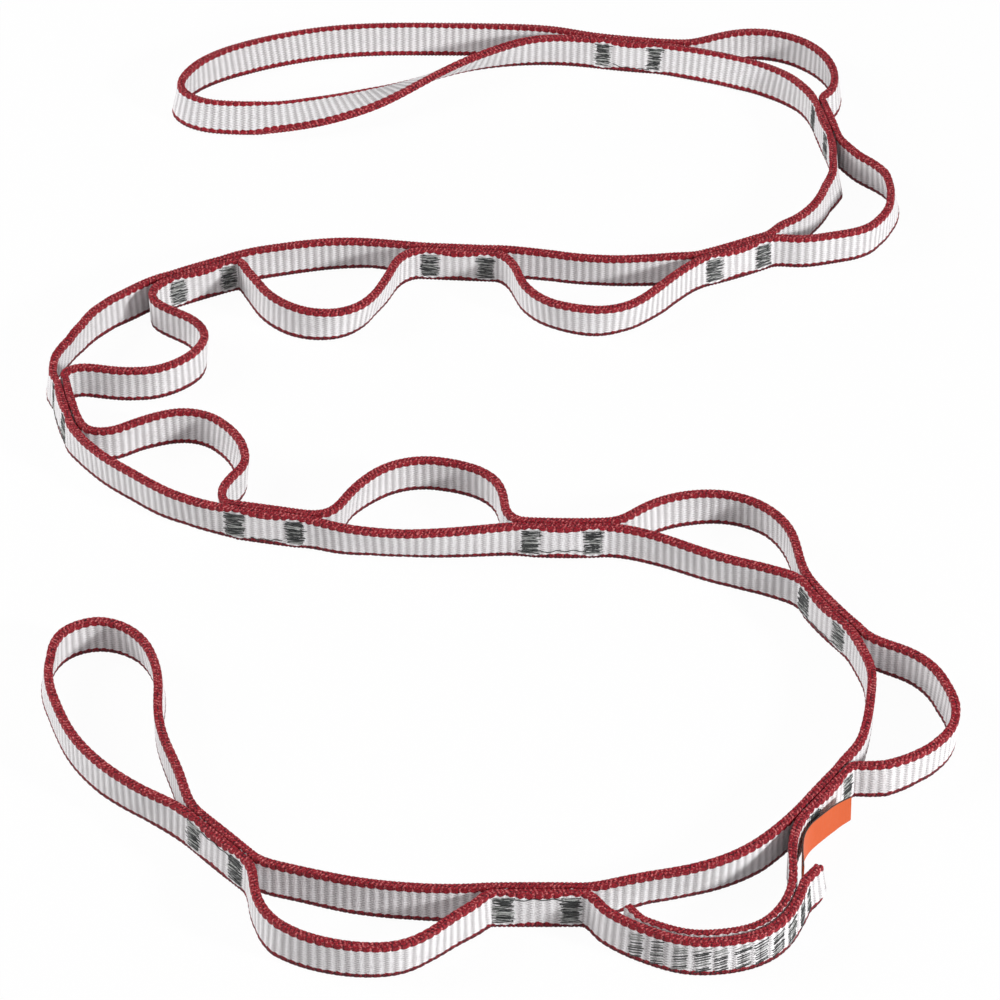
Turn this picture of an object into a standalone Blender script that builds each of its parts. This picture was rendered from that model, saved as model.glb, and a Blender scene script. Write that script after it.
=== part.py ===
# A climbing daisy chain: one flat tape folded back on itself, tacked into eleven pockets
# with an end loop at both ends, lying on the ground in an S. Metres, +Z up.
import math

import bmesh
import bpy
import numpy as np
from mathutils import Matrix

# The tape
TAPE_WIDTH = 0.012
TAPE_THICKNESS = 0.0026
SELVEDGE_CHAMFER = 0.0006
PLY_GAP = 0.0003

# The chain
PITCH = 0.096
SEWN_HALF = 0.0125
HINGE_GAP = 0.0008
RELIEF_MARGIN = 0.0001

# The bar tacks, two at each joint
TACK_SPACING = 0.0192
TACK_LENGTH = 0.005
TACK_HEIGHT = 0.009
TACK_PLATE = 0.00045
STITCH_LENGTH = 0.003
STITCH_HEIGHT = 0.005
STITCH_GAP = 0.00025

# The splice, where the tape's two cut ends lie on each other
SPLICE_TACKS = 10
SPLICE_TACK_LENGTH = 0.0034
SPLICE_STITCH_LENGTH = 0.002

# The side label
LABEL_HEIGHT = 0.009
LABEL_THICKNESS = 0.0006
LABEL_LIFT = 0.0006

# How finely a route is followed
FINE_STEP = 0.0005
MOST_STEP = 0.011
MOST_TURN = math.radians(15)
MOST_PLY_TURN = math.radians(8)
OVERRUN = 0.002
WELD = 0.000001
RELIEF_STEPS = 10

# Each joint's place along X and Y, in pitches, and the tape's heading before and after it
JOINT_SHARES = (
    (0.499, 2.741, -12, -7), (1.224, 2.196, -80, -80), (0.848, 1.336, -150, -156),
    (-0.150, 1.323, -184, -184), (-1.070, 1.205, -154, -150), (-1.492, 0.422, -79, -72),
    (-0.773, -0.215, -13, -12), (0.204, -0.293, -4, 2), (1.051, -0.706, -64, -56),
    (0.990, -1.603, -124, -125), (0.110, -2.065, -180, -180), (-0.842, -1.821, -228, -229),
)

# Points that each strand passes, in pitches along its joints' chord and out to its left
RAIL_SHARES = (
    ((0.25, 0.11), (0.40, 0.16), (0.55, 0.175), (0.69, 0.145)),
    ((0.26, 0.13), (0.38, 0.16), (0.54, 0.163), (0.68, 0.122), (0.745, 0.09)),
    ((0.21, 0.05), (0.42, 0.07), (0.63, 0.05), (0.78, 0.01)),
    ((0.21, -0.06), (0.42, -0.10), (0.62, -0.09)),
    ((0.30, -0.15), (0.46, -0.19), (0.61, -0.185)),
    ((0.20, -0.11), (0.34, -0.14), (0.48, -0.15), (0.63, -0.15), (0.77, -0.115)),
    ((0.22, -0.06), (0.42, -0.085), (0.60, -0.065), (0.76, -0.03)),
    ((0.22, 0.075), (0.34, 0.078), (0.48, 0.067), (0.61, 0.07), (0.74, 0.083)),
    ((0.20, 0.112), (0.30, 0.145), (0.42, 0.15), (0.55, 0.14), (0.68, 0.11)),
    ((0.22, 0.088), (0.33, 0.12), (0.46, 0.13), (0.62, 0.107), (0.77, 0.075)),
    ((0.22, 0.045), (0.40, 0.083), (0.58, 0.093), (0.75, 0.085)),
)
LOOP_SHARES = (
    ((0.19, 0.14), (0.25, 0.24), (0.32, 0.33), (0.43, 0.39), (0.56, 0.395), (0.69, 0.34),
     (0.78, 0.24), (0.81, 0.16)),
    ((0.155, 0.135), (0.20, 0.19), (0.25, 0.28), (0.34, 0.37), (0.49, 0.42), (0.62, 0.40),
     (0.73, 0.29), (0.80, 0.18)),
    ((0.17, 0.10), (0.25, 0.18), (0.32, 0.27), (0.39, 0.34), (0.50, 0.38), (0.62, 0.355),
     (0.71, 0.30), (0.77, 0.21), (0.80, 0.10)),
    ((0.20, 0.01), (0.26, 0.10), (0.32, 0.21), (0.38, 0.29), (0.46, 0.33), (0.56, 0.32),
     (0.66, 0.25), (0.72, 0.15), (0.75, 0.04)),
    ((0.18, -0.072), (0.235, -0.045), (0.262, 0.02), (0.275, 0.11), (0.32, 0.20), (0.42, 0.25),
     (0.52, 0.24), (0.62, 0.18), (0.67, 0.10), (0.70, 0.0), (0.735, -0.064)),
    ((0.19, -0.075), (0.255, -0.03), (0.285, 0.05), (0.315, 0.13), (0.37, 0.21), (0.46, 0.25),
     (0.55, 0.24), (0.65, 0.19), (0.72, 0.12), (0.75, 0.03), (0.785, -0.03)),
    ((0.20, 0.01), (0.26, 0.11), (0.31, 0.20), (0.38, 0.275), (0.50, 0.32), (0.64, 0.29),
     (0.73, 0.225), (0.77, 0.12), (0.80, 0.04)),
    ((0.155, 0.11), (0.195, 0.19), (0.24, 0.27), (0.31, 0.34), (0.45, 0.40), (0.60, 0.37),
     (0.69, 0.30), (0.76, 0.20), (0.81, 0.13)),
    ((0.14, 0.125), (0.18, 0.18), (0.22, 0.26), (0.29, 0.335), (0.40, 0.385), (0.52, 0.40),
     (0.63, 0.37), (0.71, 0.30), (0.76, 0.20), (0.778, 0.12)),
    (),
    ((0.155, 0.085), (0.20, 0.15), (0.26, 0.25), (0.33, 0.32), (0.44, 0.357), (0.56, 0.36),
     (0.68, 0.33), (0.78, 0.26), (0.83, 0.17)),
)

# The splice runs along the outer side of this pocket, from its own first joint
SPLICE_POCKET = 10
SPLICE_LINE_SHARES = (
    (0.174, 0.132), (0.226, 0.22), (0.284, 0.321), (0.371, 0.408), (0.482, 0.452),
    (0.60, 0.433), (0.698, 0.383), (0.772, 0.30), (0.825, 0.21), (0.852, 0.14),
)
SPLICE_ROW_SHARES = (0.24, 0.79)
INNER_PLY_SPAN_SHARES = (0.115, 0.85)
OUTER_PLY_SPAN_SHARES = (0.232, 0.97)
INNER_END_SHARE = (0.795, 0.185)
OUTER_END_SHARE = (0.20, 0.29)

# Points of the end loops, in pitches from their joint along X and Y
LARGE_LOOP_SHARES = (
    (-0.35, 0.03), (-0.50, -0.01), (-0.70, -0.12), (-0.90, -0.265), (-1.10, -0.375),
    (-1.32, -0.44), (-1.52, -0.445), (-1.65, -0.41), (-1.715, -0.33), (-1.68, -0.20),
    (-1.57, -0.08), (-1.40, 0.02), (-1.20, 0.09), (-0.98, 0.12), (-0.70, 0.12), (-0.45, 0.11),
    (-0.27, 0.085),
)
SMALL_LOOP_SHARES = (
    (-0.14, 0.28), (-0.19, 0.44), (-0.22, 0.58), (-0.23, 0.73), (-0.26, 0.86), (-0.33, 0.97),
    (-0.44, 1.02), (-0.54, 0.98), (-0.59, 0.86), (-0.58, 0.73), (-0.54, 0.61), (-0.47, 0.46),
    (-0.38, 0.34), (-0.28, 0.245),
)

# The large loop's half turn: the share of its length run, and the share of the half turn made
TWIST_SHARES = (
    (0.03, 0.0), (0.13, 0.14), (0.215, 0.30), (0.29, 0.51), (0.345, 0.66), (0.395, 0.82),
    (0.46, 1.0),
)

# Points of the side label, in pitches from the joint before the splice, root first
LABEL_SHARES = (
    (-0.081, -0.33), (-0.079, -0.27), (-0.075, -0.222), (-0.066, -0.187), (-0.05, -0.155),
    (-0.024, -0.12), (0.006, -0.084), (0.042, -0.046), (0.08, -0.015),
)

POCKETS = len(RAIL_SHARES)
JOINTS = len(JOINT_SHARES)
ROOT_POCKET = 6
PLY_OFFSET = (TAPE_THICKNESS + PLY_GAP) / 2
JOINT_HALF = TAPE_THICKNESS + PLY_GAP / 2


# Routes: plan curves as arrays of points, in metres

def heading(degrees):
    return np.array([math.cos(math.radians(degrees)), math.sin(math.radians(degrees))])


def unit(vector):
    return vector / np.linalg.norm(vector)


def left_of(direction):
    return np.array([-direction[1], direction[0]])


def joint_place(number):
    return PITCH * np.array(JOINT_SHARES[number - 1][:2])


def heading_before(number):
    return heading(JOINT_SHARES[number - 1][2])


def heading_after(number):
    return heading(JOINT_SHARES[number - 1][3])


def lengths_along(points):
    return np.r_[0, np.cumsum(np.linalg.norm(np.diff(points, axis=0), axis=1))]


def curve_through(points, first_direction, last_direction):
    # A cubic spline on the points' distances, leaving and arriving along two directions
    points = np.asarray(points, float)
    knots = lengths_along(points)
    spans = np.diff(knots)
    last = len(points) - 1
    matrix = np.zeros((last + 1, last + 1))
    right = np.zeros_like(points)
    matrix[0, 0] = matrix[last, last] = 1
    right[0], right[last] = first_direction, last_direction
    for i in range(1, last):
        before, after = spans[i - 1], spans[i]
        matrix[i, i - 1:i + 2] = after, 2 * (before + after), before
        rise_before = (points[i] - points[i - 1]) / before
        rise_after = (points[i + 1] - points[i]) / after
        right[i] = 3 * (after * rise_before + before * rise_after)
    slopes = np.linalg.solve(matrix, right)
    fine = []
    for i, span in enumerate(spans):
        for u in np.arange(0, 1, 1 / math.ceil(span / FINE_STEP)):
            fine.append((2 * u**3 - 3 * u**2 + 1) * points[i] + (u**3 - 2 * u**2 + u) * span * slopes[i]
                        + (3 * u**2 - 2 * u**3) * points[i + 1] + (u**3 - u**2) * span * slopes[i + 1])
    return np.array(fine + [points[last]])


def offset(route, distance):
    # The route moved to its left by a distance
    tangents = np.gradient(route, axis=0)
    tangents /= np.linalg.norm(tangents, axis=1)[:, None]
    return route + distance * np.stack([-tangents[:, 1], tangents[:, 0]], axis=1)


def in_chord(number, shares):
    # Points given along and left of the chord from a joint to the next
    start = joint_place(number)
    chord = unit(joint_place(number + 1) - start)
    return [start + PITCH * (along * chord + out * left_of(chord)) for along, out in shares]


def leaving(number, side):
    # The sewn start of a strand that leaves a joint: its end on the hinge, then its last stitch
    direction = heading_after(number)
    start = joint_place(number) + side * PLY_OFFSET * left_of(direction)
    return start, start + SEWN_HALF * direction


def arriving(number, side):
    direction = heading_before(number)
    end = joint_place(number) + side * PLY_OFFSET * left_of(direction)
    return end, end - SEWN_HALF * direction


def strand_route(number, shares, side):
    start, sewn_start = leaving(number, side)
    end, sewn_end = arriving(number + 1, side)
    vias = in_chord(number, shares)
    free = curve_through([sewn_start, *vias, sewn_end], heading_after(number), heading_before(number + 1))
    return np.vstack([start, free, end])


def splice_line():
    points = in_chord(SPLICE_POCKET, SPLICE_LINE_SHARES)
    return curve_through(points, unit(points[1] - points[0]), unit(points[-1] - points[-2]))


def span_of(route, shares):
    along = lengths_along(route)
    first, last = (share * along[-1] for share in shares)
    return route[(along >= first) & (along <= last)]


def ply_route(sewn, line, cut_end):
    # From the hinge, along the splice, to the cut end, which stands off the other ply
    start, sewn_start = sewn
    entry = curve_through([sewn_start, line[0]], unit(sewn_start - start), unit(line[1] - line[0]))
    way_out = curve_through([line[-1], cut_end], unit(line[-1] - line[-2]), unit(cut_end - line[-1]))
    return np.vstack([start, entry[:-1], line, way_out[1:]])


def inner_ply_route():
    line = span_of(offset(splice_line(), -PLY_OFFSET), INNER_PLY_SPAN_SHARES)
    cut_end = in_chord(SPLICE_POCKET, [INNER_END_SHARE])[0]
    return ply_route(leaving(SPLICE_POCKET, 1), line, cut_end)


def outer_ply_route():
    line = span_of(offset(splice_line(), PLY_OFFSET), OUTER_PLY_SPAN_SHARES)[::-1]
    cut_end = in_chord(SPLICE_POCKET, [OUTER_END_SHARE])[0]
    return ply_route(arriving(SPLICE_POCKET + 1, 1), line, cut_end)


def end_loop_route(number, shares, first, last):
    # Round an end loop, from one ply of its joint to the other
    vias = [joint_place(number) + PITCH * np.array(share) for share in shares]
    points = [first[1], *vias, last[1]]
    round_loop = curve_through(points, unit(first[1] - first[0]), unit(last[0] - last[1]))
    return np.vstack([first[0], round_loop, last[0]])


def large_loop_route():
    return end_loop_route(1, LARGE_LOOP_SHARES, arriving(1, -1), arriving(1, 1))


def small_loop_route():
    return end_loop_route(JOINTS, SMALL_LOOP_SHARES, leaving(JOINTS, -1), leaving(JOINTS, 1))


def label_route():
    points = [joint_place(SPLICE_POCKET) + PITCH * np.array(share) for share in LABEL_SHARES]
    return curve_through(points, unit(points[1] - points[0]), unit(points[-1] - points[-2]))


def all_routes():
    routes = {"large_end_loop": large_loop_route(), "small_end_loop": small_loop_route()}
    for number in range(1, POCKETS + 1):
        routes[f"pocket_{number:02d}_rail"] = strand_route(number, RAIL_SHARES[number - 1], -1)
        if number != SPLICE_POCKET:
            routes[f"pocket_{number:02d}_loop"] = strand_route(number, LOOP_SHARES[number - 1], 1)
    routes[f"pocket_{SPLICE_POCKET}_inner_ply"] = inner_ply_route()
    routes[f"pocket_{SPLICE_POCKET}_outer_ply"] = outer_ply_route()
    return routes


def middle_of(routes):
    # The middle of the whole chain's plan, which becomes the part's origin
    edges = np.vstack([offset(route, side * TAPE_THICKNESS / 2) for route in routes for side in (-1, 1)])
    return (edges.min(axis=0) + edges.max(axis=0)) / 2


def twist_along(route):
    # How far round the large loop's tape has turned at each of its points
    along = lengths_along(route) / lengths_along(route)[-1]
    turned = curve_through(TWIST_SHARES, (1, 0), (1, 0))
    return math.pi * np.interp(along, turned[:, 0], turned[:, 1])


def kept_points(route, twists, most_turn):
    # Indices that follow the route closely enough: no large turn, twist or step between them
    tangents = np.diff(route, axis=0)
    angles = np.unwrap(np.arctan2(tangents[:, 1], tangents[:, 0]))
    turned = np.r_[0, np.cumsum(np.abs(np.diff(angles))), 0]
    turned[-1] = turned[-2]
    along = lengths_along(route)
    effort = np.maximum.reduce([
        np.diff(turned) / most_turn, np.abs(np.diff(twists)) / most_turn, np.diff(along) / MOST_STEP,
    ])
    effort = np.r_[0, np.cumsum(effort)]
    evenly = np.linspace(0, effort[-1], math.ceil(effort[-1]) + 1)
    kept = np.searchsorted(effort, evenly[:-1])
    straight = np.flatnonzero(np.diff(along) > 2 * FINE_STEP)
    return np.unique([*kept, *straight, *(straight + 1), len(route) - 1])


# Materials, collections and the shapes made from routes

def material(name, colour, roughness):
    made = bpy.data.materials.new(name)
    made.use_nodes = True
    shader = made.node_tree.nodes["Principled BSDF"]
    shader.inputs["Base Color"].default_value = (*colour, 1)
    shader.inputs["Roughness"].default_value = roughness
    shader.inputs["Metallic"].default_value = 0
    return made


def collection(name):
    made = bpy.data.collections.new(name)
    bpy.context.scene.collection.children.link(made)
    return made


def helper(name, data, helpers):
    made = bpy.data.objects.new(name, data)
    made.hide_render = True
    made.display_type = "WIRE"
    helpers.objects.link(made)
    return made


def outline(name, points, helpers, half_height=0):
    # A closed flat outline, extruded both ways by half its height
    curve = bpy.data.curves.new(name, "CURVE")
    curve.dimensions = "2D"
    curve.fill_mode = "BOTH" if half_height else "NONE"
    curve.extrude = half_height
    spline = curve.splines.new("POLY")
    spline.points.add(len(points) - 1)
    for point, (x, y) in zip(spline.points, points):
        point.co = (x, y, 0, 1)
    spline.use_cyclic_u = True
    return helper(name, curve, helpers)


def tape_section(helpers):
    x, y, cut = TAPE_THICKNESS / 2, TAPE_WIDTH / 2, SELVEDGE_CHAMFER
    corners = [(x, y - cut), (x - cut, y), (cut - x, y), (-x, y - cut),
               (-x, cut - y), (cut - x, -y), (x - cut, -y), (x, cut - y)]
    return outline("tape_section", corners[::-1], helpers)


def label_section(helpers):
    x, y = LABEL_THICKNESS / 2, LABEL_HEIGHT / 2
    return outline("label_section", [(-x, -y), (x, -y), (x, y), (-x, y)], helpers)


def mesh_of(source, name):
    # The evaluated shape as a mesh of its own, with a curve's loose caps welded on
    graph = bpy.context.evaluated_depsgraph_get()
    mesh = bpy.data.meshes.new_from_object(source.evaluated_get(graph))
    mesh.name = name
    made = bmesh.new()
    made.from_mesh(mesh)
    bmesh.ops.remove_doubles(made, verts=made.verts, dist=WELD)
    bmesh.ops.recalc_face_normals(made, faces=made.faces)
    made.to_mesh(mesh)
    made.free()
    return mesh


def remove(thing):
    data = thing.data
    bpy.data.objects.remove(thing)
    if isinstance(data, bpy.types.Curve):
        bpy.data.curves.remove(data)


def swept(name, route, heights, twists, section, helpers):
    # A mesh of the section swept along a route, standing on its edge
    curve = bpy.data.curves.new(name, "CURVE")
    curve.dimensions = "3D"
    curve.twist_mode = "Z_UP"
    curve.bevel_mode = "OBJECT"
    curve.bevel_object = section
    curve.use_fill_caps = True
    kept = kept_points(route, twists, MOST_PLY_TURN if name.endswith("_ply") else MOST_TURN)
    spline = curve.splines.new("POLY")
    spline.points.add(len(kept) - 1)
    for point, i in zip(spline.points, kept):
        point.co = (*route[i], heights[i], 1)
        point.tilt = twists[i]
    guide = helper(name + "_guide", curve, helpers)
    bpy.context.view_layer.update()
    mesh = mesh_of(guide, name)
    remove(guide)
    return mesh


def tape_piece(name, route, twists, section, helpers, body):
    # The lowest edge of the tape stays on the ground all along, also where it twists
    corner_x, corner_y = TAPE_THICKNESS / 2 - SELVEDGE_CHAMFER, TAPE_WIDTH / 2
    reach = corner_x * np.abs(np.sin(twists)) + corner_y * np.abs(np.cos(twists))
    heights = np.maximum(reach, TAPE_WIDTH / 2)
    mesh = swept(name, route, heights, twists, section, helpers)
    made = bpy.data.objects.new(name, mesh)
    body.objects.link(made)
    centres = np.column_stack([route, heights])
    for face in mesh.polygons:
        off_centre = np.linalg.norm(centres - np.array(face.center), axis=1).min()
        face.material_index = int(off_centre > TAPE_WIDTH / 4)
    return made


def hinge_relief(number, shift, helpers):
    # What is cleared about a hinge: all that lies outside two discs, one at the end of each side
    radius = JOINT_HALF + RELIEF_MARGIN
    hinge = joint_place(number) - shift
    before, after = heading_before(number), heading_after(number)
    across = (JOINT_HALF + OVERRUN) * unit(left_of(before + after))
    points = []
    for facing, way_out in ((before, -across), (-after, across)):
        centre = hinge - facing * (radius + HINGE_GAP / 2)
        for turn in np.linspace(math.pi / 2, -math.pi / 2, RELIEF_STEPS + 1):
            points.append(centre + radius * (math.cos(turn) * facing + math.sin(turn) * left_of(facing)))
        points.append(hinge + way_out)
    made = outline(f"joint_{number:02d}_relief", points, helpers, TAPE_WIDTH / 2 + OVERRUN)
    made.location.z = TAPE_WIDTH / 2
    return solid_cutter(made, helpers)


def solid_cutter(curve_helper, helpers):
    bpy.context.view_layer.update()
    made = helper(curve_helper.name + "_cutter", mesh_of(curve_helper, curve_helper.name), helpers)
    made.matrix_world = curve_helper.matrix_world
    remove(curve_helper)
    return made


def box_mesh(name, length, depth, height):
    made = bmesh.new()
    bmesh.ops.create_cube(made, size=1)
    bmesh.ops.scale(made, vec=(length, depth, height), verts=made.verts)
    mesh = bpy.data.meshes.new(name)
    made.to_mesh(mesh)
    made.free()
    return mesh


def tack_mesh(name, length, stitch_length, helpers):
    # A bar tack: the thread's cover on both faces, and the stitching that ties them through
    cover_place = JOINT_HALF + STITCH_GAP + TACK_PLATE / 2
    through = 2 * (JOINT_HALF + STITCH_GAP) + TACK_PLATE
    core = helper(name + "_core", box_mesh(name, stitch_length, through, STITCH_HEIGHT), helpers)
    for side in (-1, 1):
        cover = helper(f"{name}_cover", box_mesh(name, length, TACK_PLATE, TACK_HEIGHT), helpers)
        cover.location.y = side * cover_place
        join = core.modifiers.new("cover", "BOOLEAN")
        join.operation = "UNION"
        join.object = cover
    bpy.context.view_layer.update()
    return mesh_of(core, name)


def placed(place, direction):
    # Half way up the tape, turned the way it runs
    return (Matrix.Translation((*place, TAPE_WIDTH / 2))
            @ Matrix.Rotation(math.atan2(direction[1], direction[0]), 4, "Z"))


def cut(thing, cutters):
    for cutter in cutters:
        modifier = thing.modifiers.new(cutter.name, "BOOLEAN")
        modifier.operation = "DIFFERENCE"
        modifier.object = cutter


# The pieces

def sewn_places(number, shift):
    # The two bar tacks of a joint: its letter, its middle and the way the tape runs there
    centre = joint_place(number) - shift
    before, after = heading_before(number), heading_after(number)
    return (("a", centre - before * TACK_SPACING / 2, before),
            ("b", centre + after * TACK_SPACING / 2, after))


def splice_places(shift):
    # Tacks spread evenly, from the row's first share of the splice line to its last
    line = splice_line() - shift
    along = lengths_along(line)
    first, last = (share * along[-1] for share in SPLICE_ROW_SHARES)
    places = []
    for i in np.searchsorted(along, np.linspace(first, last, SPLICE_TACKS)):
        places.append((line[i], unit(line[i + 1] - line[i - 1])))
    return places


def slot_cutter(name, stitch_length, place, direction, helpers):
    length, height = stitch_length + 2 * STITCH_GAP, STITCH_HEIGHT + 2 * STITCH_GAP
    made = helper(name, box_mesh(name, length, 2 * (JOINT_HALF + OVERRUN), height), helpers)
    made.matrix_world = placed(place, direction)
    return made


def cutters_of(number, shift, helpers):
    found = [hinge_relief(number, shift, helpers)]
    for letter, place, direction in sewn_places(number, shift):
        found.append(slot_cutter(f"joint_{number:02d}{letter}_slot", STITCH_LENGTH, place, direction, helpers))
    return found


def make_strands(routes, cutters, splice_cutters, section, materials, chain, helpers):
    strands = {}
    for name, route in routes.items():
        twists = twist_along(route) if name == "large_end_loop" else np.zeros(len(route))
        made = tape_piece(name, route, -twists, section, helpers, chain)
        for item in materials:
            made.data.materials.append(item)
        for number in joints_of(name):
            cut(made, cutters[number])
        if name.endswith("_ply"):
            cut(made, splice_cutters)
        strands[name] = made
    return strands


def joints_of(name):
    if name == "large_end_loop":
        return (1,)
    if name == "small_end_loop":
        return (JOINTS,)
    number = int(name.split("_")[1])
    if name.endswith("inner_ply"):
        return (number,)
    if name.endswith("outer_ply"):
        return (number + 1,)
    return number, number + 1


def make_tacks(shift, thread, chain, helpers):
    tacks = {}
    mesh = tack_mesh("bar_tack", TACK_LENGTH, STITCH_LENGTH, helpers)
    mesh.materials.append(thread)
    for number in range(1, JOINTS + 1):
        for letter, place, direction in sewn_places(number, shift):
            made = bpy.data.objects.new(f"bar_tack_{number:02d}{letter}", mesh)
            chain.objects.link(made)
            made.matrix_world = placed(place, direction)
            tacks[number, letter] = made
    return tacks


def make_splice_tacks(shift, thread, chain, helpers):
    mesh = tack_mesh("splice_tack", SPLICE_TACK_LENGTH, SPLICE_STITCH_LENGTH, helpers)
    mesh.materials.append(thread)
    made = []
    for index, (place, direction) in enumerate(splice_places(shift)):
        tack = bpy.data.objects.new(f"splice_tack_{index + 1:02d}", mesh)
        chain.objects.link(tack)
        tack.matrix_world = placed(place, direction)
        made.append(tack)
    return made


def make_label(shift, cloth, chain, helpers):
    route = label_route() - shift
    heights = np.full(len(route), LABEL_LIFT + LABEL_HEIGHT / 2)
    mesh = swept("side_label", route, heights, np.zeros(len(route)), label_section(helpers), helpers)
    mesh.materials.append(cloth)
    made = bpy.data.objects.new("side_label", mesh)
    chain.objects.link(made)
    return made


# The hinges: an empty on each joint's axis, each one carried by the next towards the root pocket

def hinge_empty(name, place, parent, chain):
    made = bpy.data.objects.new(name, None)
    made.empty_display_size = TAPE_WIDTH
    made.location = (*place, TAPE_WIDTH / 2)
    chain.objects.link(made)
    bpy.context.view_layer.update()
    if parent:
        attach(made, parent)
    return made


def attach(thing, hinge):
    thing.parent = hinge
    thing.matrix_parent_inverse = hinge.matrix_world.inverted()
    bpy.context.view_layer.update()


def make_hinges(shift, chain):
    hinges = {}
    for number in range(ROOT_POCKET, 0, -1):
        place = joint_place(number) - shift
        hinges[number] = hinge_empty(f"hinge_{number:02d}", place, hinges.get(number + 1), chain)
    outward = None
    for number in range(ROOT_POCKET + 1, JOINTS + 1):
        place = joint_place(number) - shift
        hinges[number] = hinge_empty(f"hinge_{number:02d}", place, outward, chain)
        outward = hinges[number]
    return hinges


def hinge_of_pocket(number, hinges):
    # Pocket 0 is the large end loop, and the one after the last is the small end loop
    if number == ROOT_POCKET:
        return None
    return hinges[number + 1] if number < ROOT_POCKET else hinges[number]


def pocket_of(name):
    if name == "large_end_loop":
        return 0
    if name == "small_end_loop":
        return JOINTS
    return int(name.split("_")[1])


def carry(thing, pocket, hinges):
    hinge = hinge_of_pocket(pocket, hinges)
    if hinge:
        attach(thing, hinge)


def main():
    for thing in list(bpy.data.objects):
        bpy.data.objects.remove(thing)
    chain = collection("climbing_daisy_chain")
    helpers = collection("cutters_and_guides")
    webbing = material("white_webbing", (0.80, 0.79, 0.80), 0.7)
    selvedge = material("red_selvedge", (0.42, 0.035, 0.05), 0.75)
    thread = material("grey_thread", (0.30, 0.31, 0.32), 0.6)
    cloth = material("orange_label", (0.85, 0.19, 0.04), 0.6)

    routes = all_routes()
    shift = middle_of(routes.values())
    routes = {name: route - shift for name, route in routes.items()}
    cutters = {number: cutters_of(number, shift, helpers) for number in range(1, JOINTS + 1)}
    splice_cutters = [
        slot_cutter(f"splice_{index + 1:02d}_slot", SPLICE_STITCH_LENGTH, place, direction, helpers)
        for index, (place, direction) in enumerate(splice_places(shift))
    ]

    section = tape_section(helpers)
    strands = make_strands(routes, cutters, splice_cutters, section, (webbing, selvedge), chain, helpers)
    tacks = make_tacks(shift, thread, chain, helpers)
    splice_tacks = make_splice_tacks(shift, thread, chain, helpers)
    label = make_label(shift, cloth, chain, helpers)

    hinges = make_hinges(shift, chain)
    for name, strand in strands.items():
        carry(strand, pocket_of(name), hinges)
    for (number, letter), tack in tacks.items():
        carry(tack, number - 1 if letter == "a" else number, hinges)
    for tack in splice_tacks:
        carry(tack, SPLICE_POCKET, hinges)
    label_root = label_route()[0] - shift
    label_hinge = hinge_empty("hinge_label", label_root, hinges[SPLICE_POCKET], chain)
    attach(label, label_hinge)
    bpy.context.view_layer.update()


if __name__ == "__main__":
    main()
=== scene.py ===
# A climbing daisy chain on a pale floor: the looks of its tape, its stitching and its label
import math

import bmesh
import bpy
import numpy as np
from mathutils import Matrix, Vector


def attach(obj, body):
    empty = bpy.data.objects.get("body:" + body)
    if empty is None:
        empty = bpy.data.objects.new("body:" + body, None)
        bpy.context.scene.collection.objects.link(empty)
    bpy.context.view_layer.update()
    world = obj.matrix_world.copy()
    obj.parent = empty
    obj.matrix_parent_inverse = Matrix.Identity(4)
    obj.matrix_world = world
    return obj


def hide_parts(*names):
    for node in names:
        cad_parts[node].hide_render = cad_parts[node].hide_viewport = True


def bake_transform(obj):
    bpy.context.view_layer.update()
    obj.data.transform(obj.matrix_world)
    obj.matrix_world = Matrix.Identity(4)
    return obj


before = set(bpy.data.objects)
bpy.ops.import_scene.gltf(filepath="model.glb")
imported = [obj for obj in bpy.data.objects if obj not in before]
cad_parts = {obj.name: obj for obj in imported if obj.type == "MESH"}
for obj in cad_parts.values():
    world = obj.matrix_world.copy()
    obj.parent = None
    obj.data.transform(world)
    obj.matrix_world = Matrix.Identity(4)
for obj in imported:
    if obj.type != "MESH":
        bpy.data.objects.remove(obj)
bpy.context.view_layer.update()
print("frame loaded:", len(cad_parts), "nodes")

tape = {
    "width": 0.0122,
    "thickness": 0.0028,
    "plyGap": 0.0001,
    "edgeRound": 0.0006,
    "ribPitch": 0.00267,     # from one rib of the weave to the next
    "toothPitch": 0.00087,   # from one stitch of a rib to the next
    "stepsPerRib": 8,
    "endSteps": 0.3,         # no row of these is nearer to a strand's end
    "teeth": 10,             # stitches in a rib, between the two red edges
    "redSteps": 3,
    "cornerSteps": 3,
    "topSteps": 3,
    "ribDepth": 0.00036,
    "ribUnevenness": 0.3,
    "ribSharpness": 0.8,
    "toothSwing": 0.19,      # how far a rib's edge zigzags, in ribs
    "blockShare": 0.7,       # the red blocks' depth beside a rib's
    "beadDepth": 0.00026,    # the yarn loops of the selvedge
    "beadPhase": 0.8,
    "grooveShare": 0.7,      # the groove along the top beside a bead's depth
    "grooveHalf": 0.0005,
    "topShare": 0.93,        # where the top's loops start, in half widths
    "sewnPinch": 0.00022,    # how far a tack draws the face in
    "pullReach": 0.0034,     # how far from a tack that is felt
    "calmShare": 0.55,       # how much flatter the ribs are where it is sewn
}

chain = {
    "pitch": 0.096,
    "sewnHalf": 0.0125,
    "tackSpacing": 0.0192,
    "bendHalf": 0.0066,      # the stretch between the tacks that bends
    "slackShare": 0.45,      # how much wider the red is in its middle, in tacks' pulls
    "splicePocket": 10,
}

# each joint's place along X and Y, in pitches, and the tape's heading before and after it
jointShares = (
    (0.499, 2.741, -12, -7), (1.224, 2.196, -80, -80), (0.848, 1.336, -150, -156),
    (-0.150, 1.323, -184, -184), (-1.070, 1.205, -154, -150), (-1.492, 0.422, -79, -72),
    (-0.773, -0.215, -13, -12), (0.204, -0.293, -4, 2), (1.051, -0.706, -64, -56),
    (0.990, -1.603, -124, -125), (0.110, -2.065, -180, -180), (-0.842, -1.821, -228, -229),
)

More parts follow.
